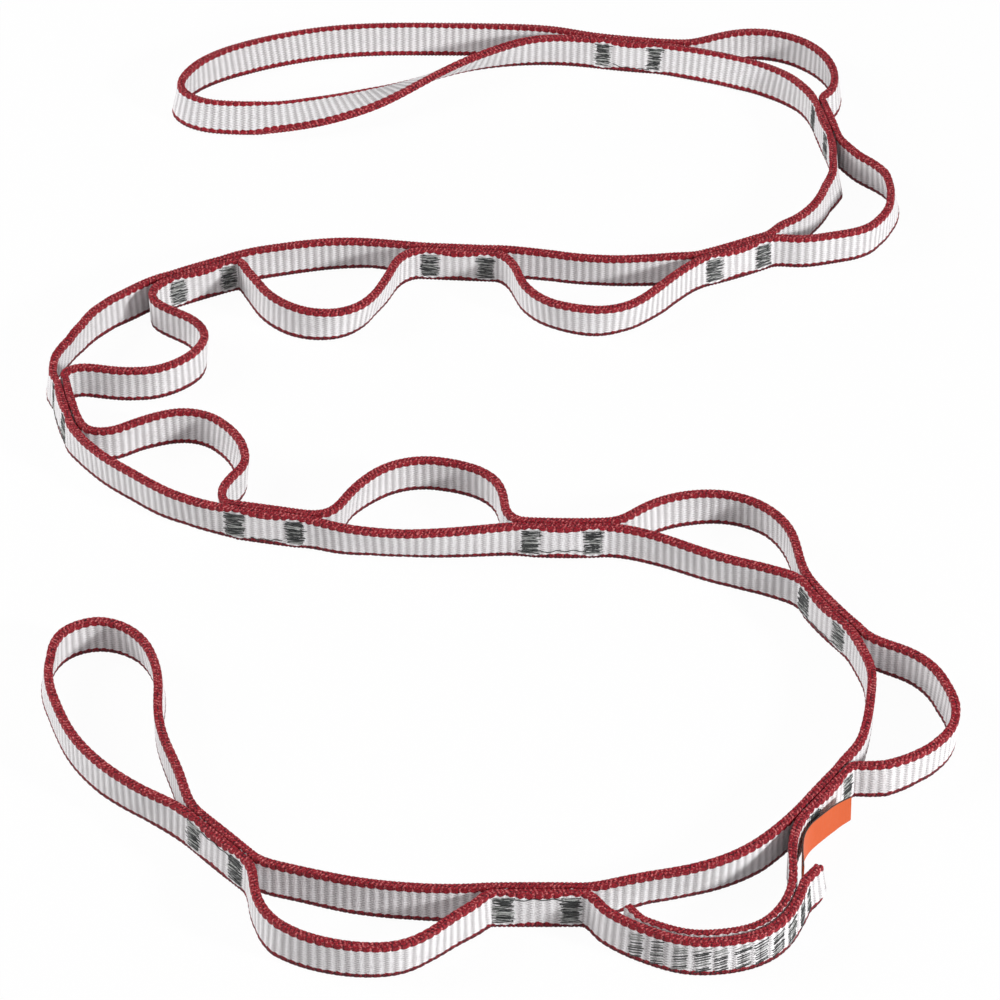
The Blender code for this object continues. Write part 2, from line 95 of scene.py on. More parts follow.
# points that each strand passes, in pitches along its joints' chord and out to its left
railShares = (
    ((0.25, 0.11), (0.40, 0.16), (0.55, 0.175), (0.69, 0.145)),
    ((0.26, 0.13), (0.38, 0.16), (0.54, 0.163), (0.68, 0.122), (0.745, 0.09)),
    ((0.21, 0.05), (0.42, 0.07), (0.63, 0.05), (0.78, 0.01)),
    ((0.21, -0.06), (0.42, -0.10), (0.62, -0.09)),
    ((0.30, -0.15), (0.46, -0.19), (0.61, -0.185)),
    ((0.20, -0.11), (0.34, -0.14), (0.48, -0.15), (0.63, -0.15), (0.77, -0.115)),
    ((0.22, -0.06), (0.42, -0.085), (0.60, -0.065), (0.76, -0.03)),
    ((0.22, 0.075), (0.34, 0.078), (0.48, 0.067), (0.61, 0.07), (0.74, 0.083)),
    ((0.20, 0.112), (0.30, 0.145), (0.42, 0.15), (0.55, 0.14), (0.68, 0.11)),
    ((0.22, 0.088), (0.33, 0.12), (0.46, 0.13), (0.62, 0.107), (0.77, 0.075)),
    ((0.22, 0.045), (0.40, 0.083), (0.58, 0.093), (0.75, 0.085)),
)
loopShares = (
    ((0.19, 0.14), (0.25, 0.24), (0.32, 0.33), (0.43, 0.39), (0.56, 0.395), (0.69, 0.34),
     (0.78, 0.24), (0.81, 0.16)),
    ((0.155, 0.135), (0.20, 0.19), (0.25, 0.28), (0.34, 0.37), (0.49, 0.42), (0.62, 0.40),
     (0.73, 0.29), (0.80, 0.18)),
    ((0.17, 0.10), (0.25, 0.18), (0.32, 0.27), (0.39, 0.34), (0.50, 0.38), (0.62, 0.355),
     (0.71, 0.30), (0.77, 0.21), (0.80, 0.10)),
    ((0.20, 0.01), (0.26, 0.10), (0.32, 0.21), (0.38, 0.29), (0.46, 0.33), (0.56, 0.32),
     (0.66, 0.25), (0.72, 0.15), (0.75, 0.04)),
    ((0.18, -0.072), (0.235, -0.045), (0.262, 0.02), (0.275, 0.11), (0.32, 0.20), (0.42, 0.25),
     (0.52, 0.24), (0.62, 0.18), (0.67, 0.10), (0.70, 0.0), (0.735, -0.064)),
    ((0.19, -0.075), (0.255, -0.03), (0.285, 0.05), (0.315, 0.13), (0.37, 0.21), (0.46, 0.25),
     (0.55, 0.24), (0.65, 0.19), (0.72, 0.12), (0.75, 0.03), (0.785, -0.03)),
    ((0.20, 0.01), (0.26, 0.11), (0.31, 0.20), (0.38, 0.275), (0.50, 0.32), (0.64, 0.29),
     (0.73, 0.225), (0.77, 0.12), (0.80, 0.04)),
    ((0.155, 0.11), (0.195, 0.19), (0.24, 0.27), (0.31, 0.34), (0.45, 0.40), (0.60, 0.37),
     (0.69, 0.30), (0.76, 0.20), (0.81, 0.13)),
    ((0.14, 0.125), (0.18, 0.18), (0.22, 0.26), (0.29, 0.335), (0.40, 0.385), (0.52, 0.40),
     (0.63, 0.37), (0.71, 0.30), (0.76, 0.20), (0.778, 0.12)),
    (),
    ((0.155, 0.085), (0.20, 0.15), (0.26, 0.25), (0.33, 0.32), (0.44, 0.357), (0.56, 0.36),
     (0.68, 0.33), (0.78, 0.26), (0.83, 0.17)),
)
spliceLineShares = (
    (0.174, 0.132), (0.226, 0.22), (0.284, 0.321), (0.371, 0.408), (0.482, 0.452),
    (0.60, 0.433), (0.698, 0.383), (0.772, 0.30), (0.825, 0.21), (0.852, 0.14),
)
innerPlySpanShares = (0.115, 0.85)
outerPlySpanShares = (0.232, 0.97)
innerEndShare = (0.795, 0.185)
outerEndShare = (0.20, 0.29)
largeLoopShares = (
    (-0.35, 0.03), (-0.50, -0.01), (-0.70, -0.12), (-0.90, -0.265), (-1.10, -0.375),
    (-1.32, -0.44), (-1.52, -0.445), (-1.65, -0.41), (-1.715, -0.33), (-1.68, -0.20),
    (-1.57, -0.08), (-1.40, 0.02), (-1.20, 0.09), (-0.98, 0.12), (-0.70, 0.12), (-0.45, 0.11),
    (-0.27, 0.085),
)
smallLoopShares = (
    (-0.14, 0.28), (-0.19, 0.44), (-0.22, 0.58), (-0.23, 0.73), (-0.26, 0.86), (-0.33, 0.97),
    (-0.44, 1.02), (-0.54, 0.98), (-0.59, 0.86), (-0.58, 0.73), (-0.54, 0.61), (-0.47, 0.46),
    (-0.38, 0.34), (-0.28, 0.245),
)
twistShares = (  # the large loop's half turn: share of its length run, share of the turn made
    (0.03, 0.0), (0.13, 0.14), (0.215, 0.30), (0.29, 0.51), (0.345, 0.66), (0.395, 0.82),
    (0.46, 1.0),
)
labelShares = (
    (-0.081, -0.33), (-0.079, -0.27), (-0.075, -0.222), (-0.066, -0.187), (-0.05, -0.155),
    (-0.024, -0.12), (0.006, -0.084), (0.042, -0.046), (0.08, -0.015),
)

pockets = len(railShares)
joints = len(jointShares)
plyOffset = (tape["thickness"] + tape["plyGap"]) / 2


# routes

def headingOf(degrees):
    turn = math.radians(degrees)
    return np.array([math.cos(turn), math.sin(turn)])


def unit(vector):
    return vector / np.linalg.norm(vector)


def leftOf(direction):
    return np.array([-direction[1], direction[0]])


def jointPlace(number):
    return chain["pitch"] * np.array(jointShares[number - 1][:2])


def headingBefore(number):
    return headingOf(jointShares[number - 1][2])


def headingAfter(number):
    return headingOf(jointShares[number - 1][3])


def lengthsAlong(points):
    return np.r_[0, np.cumsum(np.linalg.norm(np.diff(points, axis=0), axis=1))]


def unitRows(vectors):
    return vectors / np.linalg.norm(vectors, axis=1)[:, None]


def pointsAt(places, route):
    along = lengthsAlong(route)
    return np.stack([np.interp(places, along, route[:, axis]) for axis in (0, 1)], axis=1)


def curveThrough(points, firstDirection, lastDirection, fineStep=0.0005):
    # a cubic spline on the points' distances, leaving and arriving along two directions
    points = np.asarray(points, float)
    knots = lengthsAlong(points)
    spans = np.diff(knots)
    last = len(points) - 1
    matrix = np.zeros((last + 1, last + 1))
    right = np.zeros_like(points)
    matrix[0, 0] = matrix[last, last] = 1
    right[0], right[last] = firstDirection, lastDirection
    for i in range(1, last):
        before, after = spans[i - 1], spans[i]
        matrix[i, i - 1:i + 2] = after, 2 * (before + after), before
        riseBefore = (points[i] - points[i - 1]) / before
        riseAfter = (points[i + 1] - points[i]) / after
        right[i] = 3 * (after * riseBefore + before * riseAfter)
    slopes = np.linalg.solve(matrix, right)
    fine = []
    for i, span in enumerate(spans):
        for u in np.arange(0, 1, 1 / math.ceil(span / fineStep)):
            fine.append((2 * u**3 - 3 * u**2 + 1) * points[i] + (u**3 - 2 * u**2 + u) * span * slopes[i]
                        + (3 * u**2 - 2 * u**3) * points[i + 1] + (u**3 - u**2) * span * slopes[i + 1])
    return np.array(fine + [points[last]])


def curveAlong(points):
    return curveThrough(points, unit(points[1] - points[0]), unit(points[-1] - points[-2]))


def leftsAlong(route):
    tangents = unitRows(np.gradient(route, axis=0))
    return np.stack([-tangents[:, 1], tangents[:, 0]], axis=1)


def offsetRoute(route, distance):
    return route + distance * leftsAlong(route)


def aroundJoint(number, shares):
    return jointPlace(number) + chain["pitch"] * np.array(shares)


def inChord(number, shares):
    start = jointPlace(number)
    chord = unit(jointPlace(number + 1) - start)
    return [start + chain["pitch"] * (along * chord + out * leftOf(chord)) for along, out in shares]


def leaving(number, side):
    direction = headingAfter(number)
    start = jointPlace(number) + side * plyOffset * leftOf(direction)
    return start, start + chain["sewnHalf"] * direction


def arriving(number, side):
    direction = headingBefore(number)
    end = jointPlace(number) + side * plyOffset * leftOf(direction)
    return end, end - chain["sewnHalf"] * direction


def strandRoute(number, shares, side):
    start, sewnStart = leaving(number, side)
    end, sewnEnd = arriving(number + 1, side)
    vias = inChord(number, shares)
    free = curveThrough([sewnStart, *vias, sewnEnd], headingAfter(number), headingBefore(number + 1))
    return np.vstack([start, free, end])


def spliceLine():
    return curveAlong(inChord(chain["splicePocket"], spliceLineShares))


def spanOf(route, shares):
    along = lengthsAlong(route)
    first, last = (share * along[-1] for share in shares)
    return route[(along >= first) & (along <= last)]


def plyRoute(sewn, side, spanShares, endShare):
    # from its joint along one side of the splice's line to its cut end
    start, sewnStart = sewn
    line = spanOf(offsetRoute(spliceLine(), side * plyOffset), spanShares)[::-side]
    cutEnd = inChord(chain["splicePocket"], [endShare])[0]
    entry = curveThrough([sewnStart, line[0]], unit(sewnStart - start), unit(line[1] - line[0]))
    wayOut = curveThrough([line[-1], cutEnd], unit(line[-1] - line[-2]), unit(cutEnd - line[-1]))
    return np.vstack([start, entry[:-1], line, wayOut[1:]])


def endLoopRoute(number, shares, first, last):
    points = [first[1], *aroundJoint(number, shares), last[1]]
    roundLoop = curveThrough(points, unit(first[1] - first[0]), unit(last[0] - last[1]))
    return np.vstack([first[0], roundLoop, last[0]])


def allRoutes():
    starting, ending = leaving(chain["splicePocket"], 1), arriving(chain["splicePocket"] + 1, 1)
    routes = {
        "large_end_loop": endLoopRoute(1, largeLoopShares, arriving(1, -1), arriving(1, 1)),
        "small_end_loop": endLoopRoute(joints, smallLoopShares, leaving(joints, -1), leaving(joints, 1)),
        "pocket_10_inner_ply": plyRoute(starting, -1, innerPlySpanShares, innerEndShare),
        "pocket_10_outer_ply": plyRoute(ending, 1, outerPlySpanShares, outerEndShare),
    }
    for number in range(1, pockets + 1):
        routes[f"pocket_{number:02d}_rail"] = strandRoute(number, railShares[number - 1], -1)
        if number != chain["splicePocket"]:
            routes[f"pocket_{number:02d}_loop"] = strandRoute(number, loopShares[number - 1], 1)
    return routes


def middleOf(routes):
    half = tape["thickness"] / 2
    edges = np.vstack([offsetRoute(route, side) for route in routes for side in (-half, half)])
    return (edges.min(axis=0) + edges.max(axis=0)) / 2


routes = allRoutes()
shift = middleOf(routes.values())
routes = {name: route - shift for name, route in routes.items()}
print("routes made:", len(routes))


# shader maths as plain expressions

class Wire:
    def __init__(self, tree, socket=None):
        self.tree = tree
        self.socket = socket

    def node(self, kind, settings=None, inputs=None, output=0):
        made = self.tree.nodes.new(kind)
        for name, value in (settings or {}).items():
            setattr(made, name, value)
        for name, value in (inputs or {}).items():
            if isinstance(value, Wire):
                self.tree.links.new(value.socket, made.inputs[name])
            else:
                made.inputs[name].default_value = value
        return Wire(self.tree, made.outputs[output])

    def math(self, operation, first, second=0.0):
        return self.node("ShaderNodeMath", {"operation": operation}, {0: first, 1: second})

    def __add__(self, other):
        return self.math("ADD", self, other)

    def __radd__(self, other):
        return self.math("ADD", other, self)

    def __sub__(self, other):
        return self.math("SUBTRACT", self, other)

    def __rsub__(self, other):
        return self.math("SUBTRACT", other, self)

    def __mul__(self, other):
        return self.math("MULTIPLY", self, other)

    def __rmul__(self, other):
        return self.math("MULTIPLY", other, self)

    def abs(self):
        return self.math("ABSOLUTE", self)

    def fract(self):
        return self.math("FRACT", self)

    def smooth(self, low, high):
        inputs = {"Value": self, "From Min": low, "From Max": high}
        return self.node("ShaderNodeMapRange", {"interpolation_type": "SMOOTHSTEP"}, inputs)

    def attribute(self, name):
        return self.node("ShaderNodeAttribute", {"attribute_name": name}, output="Fac")

    def wave(self):
        # 0 in the middle of each whole step, 1 at its ends
        return (self.fract() - 0.5).abs() * 2

    def place(self):
        return self.node("ShaderNodeTexCoord", output="Object")

    def noise(self, scale, detail=2):
        # at a scale of 1000 its patches are about a millimetre wide
        inputs = {"Vector": self.place(), "Scale": scale, "Detail": detail}
        return self.node("ShaderNodeTexNoise", {}, inputs)


def newMaterial(name, roughness, specular, sheen=0.0):
    made = bpy.data.materials.new(name)
    made.use_nodes = True
    shader = made.node_tree.nodes["Principled BSDF"]
    shader.inputs["Roughness"].default_value = roughness
    shader.inputs["Sheen Weight"].default_value = sheen
    shader.inputs["Specular IOR Level"].default_value = specular
    return made, shader, Wire(made.node_tree)


def mixColours(factor, first, second):
    settings = {"data_type": "RGBA"}
    return factor.node("ShaderNodeMix", settings, {0: factor, 6: first, 7: second}, output=2)


def feed(shader, **wires):
    for name, wire in wires.items():
        wire.tree.links.new(wire.socket, shader.inputs[name.replace("_", " ")])


def placed(name, data):
    made = bpy.data.objects.new(name, data)
    bpy.context.scene.collection.objects.link(made)
    return made


def finishMesh(mesh, places, attributes, material, sharpAngle):
    mesh.vertices.foreach_set("co", places.ravel())
    for name, values in attributes.items():
        mesh.attributes.new(name, "FLOAT", "POINT").data.foreach_set("value", values)
    mesh.materials.append(material)
    mesh.shade_smooth()
    mesh.set_sharp_from_angle(angle=math.radians(sharpAngle))
    mesh.update()
    return placed(mesh.name, mesh)


# the woven tape

whiteShare = tape["teeth"] * tape["toothPitch"] / tape["width"]
weave = {
    # the white, its painted highlight colour, and the colour of its painted shade and of its darker patches
    # and yarns
    "white": (0.78, 0.77, 0.775, 1),
    "whiteHighlight": (0.95, 0.95, 0.96, 1),
    "whiteShade": (0.33, 0.305, 0.32, 1),
    # the red, its dark colour for painted shade and for darker yarns at random, and its painted highlight
    # colour
    "red": (0.38, 0.010, 0.022, 1),
    "redDark": (0.040, 0.001, 0.006, 1),
    "redHighlight": (0.70, 0.21, 0.21, 1),
    "ribJitter": 0.30,
    "borderInset": 0.035,    # this and the next four in half widths
    "scallop": 0.065,        # how far a rib's crest reaches into the red
    "ragged": 0.12,
    "pulled": 0.13,          # how far a tack draws the white
    "borderBlur": 0.012,
    # strengths of the painted shade in the valleys and grooves, and of the random patches and yarns
    "valleyShade": 0.50,
    "calmShade": 0.24,       # what is lost of that painted valley shade where it is sewn
    "grooveShade": 0.12,
    "patchShade": 0.06,
    "yarnShade": 0.30,
    "partingPlace": 0.18,    # of the painted shade line between two loops, in ribs
    "parting": 0.55,
    "redYarn": 0.55,
    "contactShadeHeight": 0.0014,  # this and the next: how far up and how much the lower edge is painted darker, as contact shade by the floor
    "contactShade": 0.50,
    # strengths of the painted highlights on the top's loops and on the face's rib crests
    "topHighlight": 0.90,
    "sideHighlight": 0.85,
    "bump": 0.00022,
}


def whitePart(wires, calm):
    # its colour, painted with shade in the valleys and grooves and with highlights on the crests, its
    # valleys between ribs and its grooves between stitches
    ribs, height, fine, grain, patch = wires
    tooth = (height * (tape["width"] / 2 / tape["toothPitch"])).wave()
    rib = ribs + (tooth - 0.5) * 2 * tape["toothSwing"] + (grain - 0.5) * weave["ribJitter"]
    fromCrest = rib.wave()
    valley = fromCrest.smooth(0.62, 1.0)
    groove = tooth.smooth(0.62, 1.0) * (1 - fromCrest.smooth(0.0, 0.5) * 0.6)
    # painted highlight along each rib's crest, broken by the grooves
    crest = (1 - fromCrest).smooth(0.40, 0.85) * (1 - groove * 0.5) * fine.smooth(0.30, 0.52)
    lit = mixColours(crest, weave["white"], weave["whiteHighlight"])
    # painted shade in the valleys and grooves, less where it is sewn; the patches and yarns vary at random
    shade = valley * (weave["valleyShade"] - calm * weave["calmShade"]) + groove * weave["grooveShade"]
    shade = shade + (1 - patch.smooth(0.35, 0.62)) * weave["patchShade"] + (0.5 - fine) * weave["yarnShade"]
    return mixColours(shade, lit, weave["whiteShade"]), valley, groove


def redPart(wires, side, plainCrest):
    ribs, height, fine, grain, patch = wires
    above = ribs.node("ShaderNodeSeparateXYZ", {}, {"Vector": ribs.place()}, output="Z")
    onTop = height.abs().smooth(tape["topShare"], 0.985)
    loopEnd = (ribs * 2 + side * 0.45 + (patch - 0.5) * 1.6).wave()
    rowEdge = (side.abs() - 0.5).abs() * 2
    broken = grain.smooth(0.36, 0.58)
    # painted shade in the gaps between the top's loops, and along its middle groove and its edges
    topGap = loopEnd.smooth(0.50, 1.0) * (1 - broken * 0.7) * 0.75
    topGap = topGap + rowEdge.smooth(0.55, 1.0) * (1 - broken) * 0.6
    # painted highlight specks on the top's loops
    topHighlight = (1 - loopEnd.smooth(0.0, 0.8)) * grain.smooth(0.47, 0.60) * fine.smooth(0.40, 0.56)
    # painted highlight ticks on the face's rib crests
    tick = plainCrest.smooth(0.60, 0.92) * grain.smooth(0.33, 0.50)
    # painted shade in the parting between two loops on the face
    parting = (1 - (ribs + weave["partingPlace"]).wave()).smooth(0.80, 0.97)
    yarn = fine.smooth(0.38, 0.64)
    # the painted shade of the gaps and partings, and darker yarns at random
    gap = onTop * topGap + (1 - onTop) * parting * weave["parting"] + (1 - yarn) * weave["redYarn"]
    # painted contact shade: the red is darker towards the floor, and its painted highlights dimmer there
    lower = 1 - above.smooth(weave["contactShadeHeight"] * 0.6, weave["contactShadeHeight"] * 1.6)
    dark = mixColours(gap + lower * weave["contactShade"], weave["red"], weave["redDark"])
    # all the painted highlights, dimmed by the painted contact shade near the floor
    light = onTop * topHighlight * weave["topHighlight"] + (1 - onTop) * tick * yarn * weave["sideHighlight"]
    return mixColours(light * (1 - lower * 0.85), dark, weave["redHighlight"])


def wovenTape():
    made, shader, start = newMaterial("woven_tape", roughness=0.58, specular=0.24)
    ribs, height, pull, side, calm = (
        start.attribute(name) for name in ("ribs", "height", "pull", "side", "calm"))
    fine, grain, patch = start.noise(1900), start.noise(950, 3), start.noise(260)
    wires = ribs, height, fine, grain, patch
    white, valley, groove = whitePart(wires, calm)
    plainCrest = 1 - ribs.wave()
    scallop = plainCrest * weave["scallop"] + (grain - 0.5) * weave["ragged"] + pull * weave["pulled"]
    border = whiteShare - weave["borderInset"] + scallop
    redMask = (height.abs() - border).smooth(-weave["borderBlur"], weave["borderBlur"])
    raised = (1 - valley) * 0.8 + (1 - groove) * 0.5 + fine * 0.7
    bump = start.node("ShaderNodeBump", {}, {"Height": raised, "Distance": weave["bump"], "Strength": 1.0})
    feed(shader, Base_Color=mixColours(redMask, white, redPart(wires, side, plainCrest)), Normal=bump)
    return made


tapeMaterial = wovenTape()
print("tape material made")


def smoothStep(values, low, high):
    share = np.clip((values - low) / (high - low), 0, 1)
    return share * share * (3 - 2 * share)


def unitTube(name, rows, sides):
    # a plain capped tube: each vertex tells its row and side, and takes its real place from them
    bm = bmesh.new()
    bmesh.ops.create_cone(bm, cap_ends=True, segments=sides, radius1=1, radius2=1, depth=1)
    longEdges = [edge for edge in bm.edges if abs(edge.verts[0].co.z - edge.verts[1].co.z) > 0.5]
    bmesh.ops.subdivide_edges(bm, edges=longEdges, cuts=rows - 1)
    mesh = bpy.data.meshes.new(name)
    bm.to_mesh(mesh)
    bm.free()
    places = np.zeros(len(mesh.vertices) * 3)
    mesh.vertices.foreach_get("co", places)
    x, y, z = places.reshape(-1, 3).T
    row = np.rint((z + 0.5) * rows).astype(int)
    side = np.rint(np.arctan2(x, y) / (2 * math.pi) * sides).astype(int) % sides
    return mesh, row, side


def tapeSection():
    # round the section from its top's middle, down the left face: places and outward directions
    x, y, r = tape["thickness"] / 2, tape["width"] / 2, tape["edgeRound"]
    whiteTop = tape["teeth"] * tape["toothPitch"] / 2
    quarter = [(u * (x - r), y, 0, 1) for u in np.linspace(0, 1, tape["topSteps"], endpoint=False)]
    for turn in np.linspace(0, math.pi / 2, tape["cornerSteps"], endpoint=False):
        sine, cosine = math.sin(turn), math.cos(turn)
        quarter.append((x - r + r * sine, y - r + r * cosine, sine, cosine))
    quarter += [(x, h, 1, 0) for h in np.linspace(y - r, whiteTop, tape["redSteps"], endpoint=False)]
    quarter += [(x, h, 1, 0) for h in np.linspace(whiteTop, 0, tape["teeth"], endpoint=False)]
    down = quarter + [(x, 0, 1, 0)] + [(a, -h, na, -nh) for a, h, na, nh in quarter[::-1]]
    up = [(-a, h, -na, nh) for a, h, na, nh in down[-2:0:-1]]
    return np.array(down + up)


section = tapeSection()


def ribRows(route, first, last, firstRib, lastRib):
    # rows that fall alike on every rib, and one at each end: their points, places and rib counts
    steps, gap = tape["stepsPerRib"], tape["endSteps"]
    low, high = sorted((firstRib, lastRib))
    inner = np.arange(math.ceil(low * steps + gap), math.floor(high * steps - gap) + 1) / steps
    ribs = np.r_[low, inner, high]
    if lastRib < firstRib:
        ribs = ribs[::-1]
    places = first + (ribs - firstRib) / (lastRib - firstRib) * (last - first)
    return pointsAt(places, route), places, ribs


def rowsOf(points, ribs, tilts, pull, lift=0.0, sways=0.0):
    # each row's middle, the way its left face looks and the way up its width
    tangents = unitRows(np.gradient(points, lengthsAlong(points), axis=0))
    left = np.stack([-tangents[:, 1], tangents[:, 0], np.zeros(len(points))], axis=1)
    points = points + np.reshape(sways, (-1, 1)) * left[:, :2]
    cosines, sines = np.cos(tilts)[:, None], np.sin(tilts)[:, None]
    up = cosines * [0, 0, 1] + sines * left
    across = cosines * left - sines * np.array([0, 0, 1])
    corner = tape["edgeRound"]
    reach = (tape["thickness"] / 2 - corner) * np.abs(sines) + (tape["width"] / 2 - corner) * np.abs(cosines)
    middles = np.column_stack([points, np.maximum(reach[:, 0] + corner, lift)])
    calm = np.clip(np.abs(pull), 0, 1)
    return {"middle": middles, "across": across, "up": up, "ribs": ribs, "pull": pull, "calm": calm}


def relief(ribs, pull, calm, side):
    # how far the weave's surface lies inside the section's outline
    a, h, _, _ = section[side].T
    height = np.abs(h) / (tape["width"] / 2)
    onFace = 1 - smoothStep(height, whiteShare - 0.06, whiteShare + 0.04)
    onTop = smoothStep(height, tape["topShare"], 1.0)
    tooth = np.abs((h / tape["toothPitch"]) % 1 - 0.5) * 2
    ribCrest = np.abs(np.sin(math.pi * (ribs + (tooth - 0.5) * 2 * tape["toothSwing"])))
    whim = ribWhims[np.floor(ribs).astype(int) % len(ribWhims)]
    ribDepth = tape["ribDepth"] * (0.85 + tape["ribUnevenness"] * whim) * (1 - tape["calmShare"] * calm)
    ribbed = ribDepth * (ribCrest**tape["ribSharpness"] - 1)
    blocks = tape["blockShare"] * tape["ribDepth"] * (np.sqrt(np.abs(np.cos(math.pi * ribs))) - 1)
    beads = tape["beadDepth"] * (np.abs(np.sin(2 * math.pi * ribs + tape["beadPhase"] * np.sign(a))) - 1)
    groove = -tape["beadDepth"] * tape["grooveShare"] * (1 - smoothStep(np.abs(a), 0, tape["grooveHalf"]))
    pinch = tape["sewnPinch"] * np.clip(pull, 0, 1) * np.clip(2 - pull, 0, 1) * (1 - onTop)
    return onFace * ribbed + (1 - onFace) * (1 - onTop) * blocks + onTop * (beads + groove) - pinch


ribWhims = np.random.default_rng(7).random(2048)


def tapePiece(name, rows):
    mesh, row, side = unitTube(name, len(rows["ribs"]) - 1, len(section))
    a, h, na, nh = section[side].T
    ribs, pull, calm = (rows[title][row] for title in ("ribs", "pull", "calm"))
    inset = relief(ribs, pull, calm, side)
    h = np.where(h < 0, h * (1 - rows["drawn"][row]), h) if "drawn" in rows else h
    places = (rows["middle"][row] + (a + inset * na)[:, None] * rows["across"][row]
              + (h + inset * nh)[:, None] * rows["up"][row])
    attributes = {"ribs": ribs, "height": h / (tape["width"] / 2), "pull": pull, "calm": calm,
                  "side": a / (tape["thickness"] / 2)}
    return finishMesh(mesh, places, attributes, tapeMaterial, sharpAngle=60)


# how the tape stands in the photo: degrees that its top leans to the left of the way it runs, for
# each joint, then per strand the share of its length, its lean and millimetres that it sits left
jointLeans = (5, 0, -3, 0, -3, 4, 0, 3, 0, 0, -6, -4)
stances = {
    "large_end_loop": (
        (0.17, 0, -0.4), (0.28, 0, 0), (0.35, -8, 0.1), (0.40, -24, 0.7), (0.45, -25, 0.6), (0.50, -12, 0),
        (0.545, 1, 0.3), (0.60, 18, -0.6), (0.66, 26, -1.1), (0.79, 26, -0.9), (0.88, 11, -0.4)),
    "small_end_loop": (
        (0.20, 1, 0.2), (0.28, 0, 0.4), (0.36, 7, -0.4), (0.41, 6, -0.8), (0.47, -2, -0.8), (0.52, 2, -0.5),
        (0.57, 11, 0), (0.64, 1, 0), (0.71, 1, -0.5), (0.80, 1, -0.7), (0.87, -3, -0.3)),
    "pocket_01_rail": ((0.24, 17, -1.0), (0.45, 24, -1.9), (0.60, 17, -1.4), (0.75, 1, -0.3)),
    "pocket_01_loop": ((0.35, 4, 0.2), (0.55, 5, 0.3), (0.68, -3, 0.5), (0.75, -9, 1.1), (0.87, -4, 0.1)),
    "pocket_02_rail": (
        (0.26, -8, -0.3), (0.36, -15, 0.7), (0.46, -5, -0.8), (0.60, 1, -0.3), (0.72, 0, 0.4),
        (0.82, -5, 0.7)),
    "pocket_02_loop": (
        (0.17, 0, 1.0), (0.25, -2, 1.9), (0.32, -9, 2.4), (0.37, -14, 1.6), (0.43, -10, 0.4),
        (0.49, 0, -0.5), (0.56, 3, -1.3), (0.66, 0, -0.6)),
    "pocket_03_rail": ((0.30, 0, 0), (0.41, 4, -0.7), (0.50, 5, -1.2), (0.66, 3, -1.4), (0.78, 0, -0.5)),
    "pocket_03_loop": (
        (0.14, 0, 0.4), (0.20, 0, 0.9), (0.27, 0, 0.9), (0.34, 6, 0.2), (0.42, 10, -0.5), (0.52, 5, -0.6),
        (0.61, 9, -0.4), (0.70, 5, -0.5), (0.80, 0, 0)),
    "pocket_04_rail": (
        (0.22, 3, -0.6), (0.33, 8, -1.3), (0.45, 3, -1.0), (0.60, -2, -0.9), (0.76, -4, -0.6)),
    "pocket_04_loop": (
        (0.27, 8, 0), (0.34, 14, -0.3), (0.42, 12, -0.6), (0.52, 4, -0.5), (0.62, -4, -0.2), (0.76, -4, 0),
        (0.84, 0, 0.8)),
    "pocket_05_rail": (
        (0.27, -6, -0.8), (0.36, -2, -1.7), (0.45, 0, -1.0), (0.54, 6, 0.6), (0.64, 10, 0.8),
        (0.75, 9, -1.0), (0.85, 7, -1.2)),
    "pocket_05_loop": (
        (0.30, 0, -0.2), (0.36, 3, 0), (0.43, 6, 0.3), (0.50, -2, 0.1), (0.58, -2, -0.5), (0.69, -2, -1.2),
        (0.80, -4, -0.6)),
    "pocket_06_rail": (
        (0.25, -3, -0.6), (0.35, -3, -0.1), (0.50, -3, 0.7), (0.60, -3, 1.1), (0.72, -8, 1.5),
        (0.82, -6, 0.9)),
    "pocket_06_loop": (
        (0.30, 1, 0.3), (0.41, 8, 0), (0.54, 9, -0.2), (0.63, 10, 0.6), (0.70, 6, 0.9), (0.77, 0, 0.2)),
    "pocket_07_rail": (
        (0.25, -7, 1.0), (0.36, -15, 1.9), (0.48, -17, 1.7), (0.60, -12, 1.2), (0.72, -7, 0.7)),
    "pocket_07_loop": ((0.27, -8, 0.7), (0.37, -2, 0.4), (0.55, 1, 0.2), (0.64, 0, 1.1), (0.77, 0, 1.0)),
    "pocket_08_rail": ((0.30, 0, 0.6), (0.43, -3, 1.1), (0.60, -6, 1.7), (0.70, -5, 1.6)),
    "pocket_08_loop": ((0.37, 5, -0.4), (0.50, -1, -0.2), (0.58, -4, 0.2), (0.68, 0, 0)),
    "pocket_09_rail": ((0.30, 0, -0.5), (0.50, 2, -0.9), (0.67, 3, -1.1), (0.78, 0, -0.4)),
    "pocket_09_loop": (
        (0.29, 2, -0.2), (0.42, 6, -0.5), (0.50, 3, 0.3), (0.57, 4, 0), (0.65, 3, -0.7), (0.72, 3, -0.5),
        (0.81, -4, 1.2)),
    "pocket_10_rail": ((0.30, -1, 0.4), (0.42, 4, 0.1), (0.55, 8, -0.4), (0.67, 7, -0.8), (0.80, -2, 0)),
    "pocket_11_rail": ((0.20, -6, 0.3), (0.37, -4, 0), (0.55, -5, 0.3), (0.70, -2, 0.1)),
    "pocket_11_loop": (
        (0.20, 0, 0), (0.30, 5, -0.5), (0.40, 3, -0.2), (0.53, -1, 0.3), (0.60, -3, 0.7), (0.67, -7, 1.0),
        (0.75, -1, -0.2)),
    "pocket_10_inner_ply": ((0.30, 0, 0), (0.45, -3, 0), (0.60, -6, 0), (1, -6, 0)),
    "pocket_10_outer_ply": (
        (0.33, 6, -0.1), (0.46, 6, -0.2), (0.58, 4, -0.3), (0.68, 2, 0), (0.85, 2, 0), (0.93, 6, -0.7),
        (1, 10, -1.5)),
}


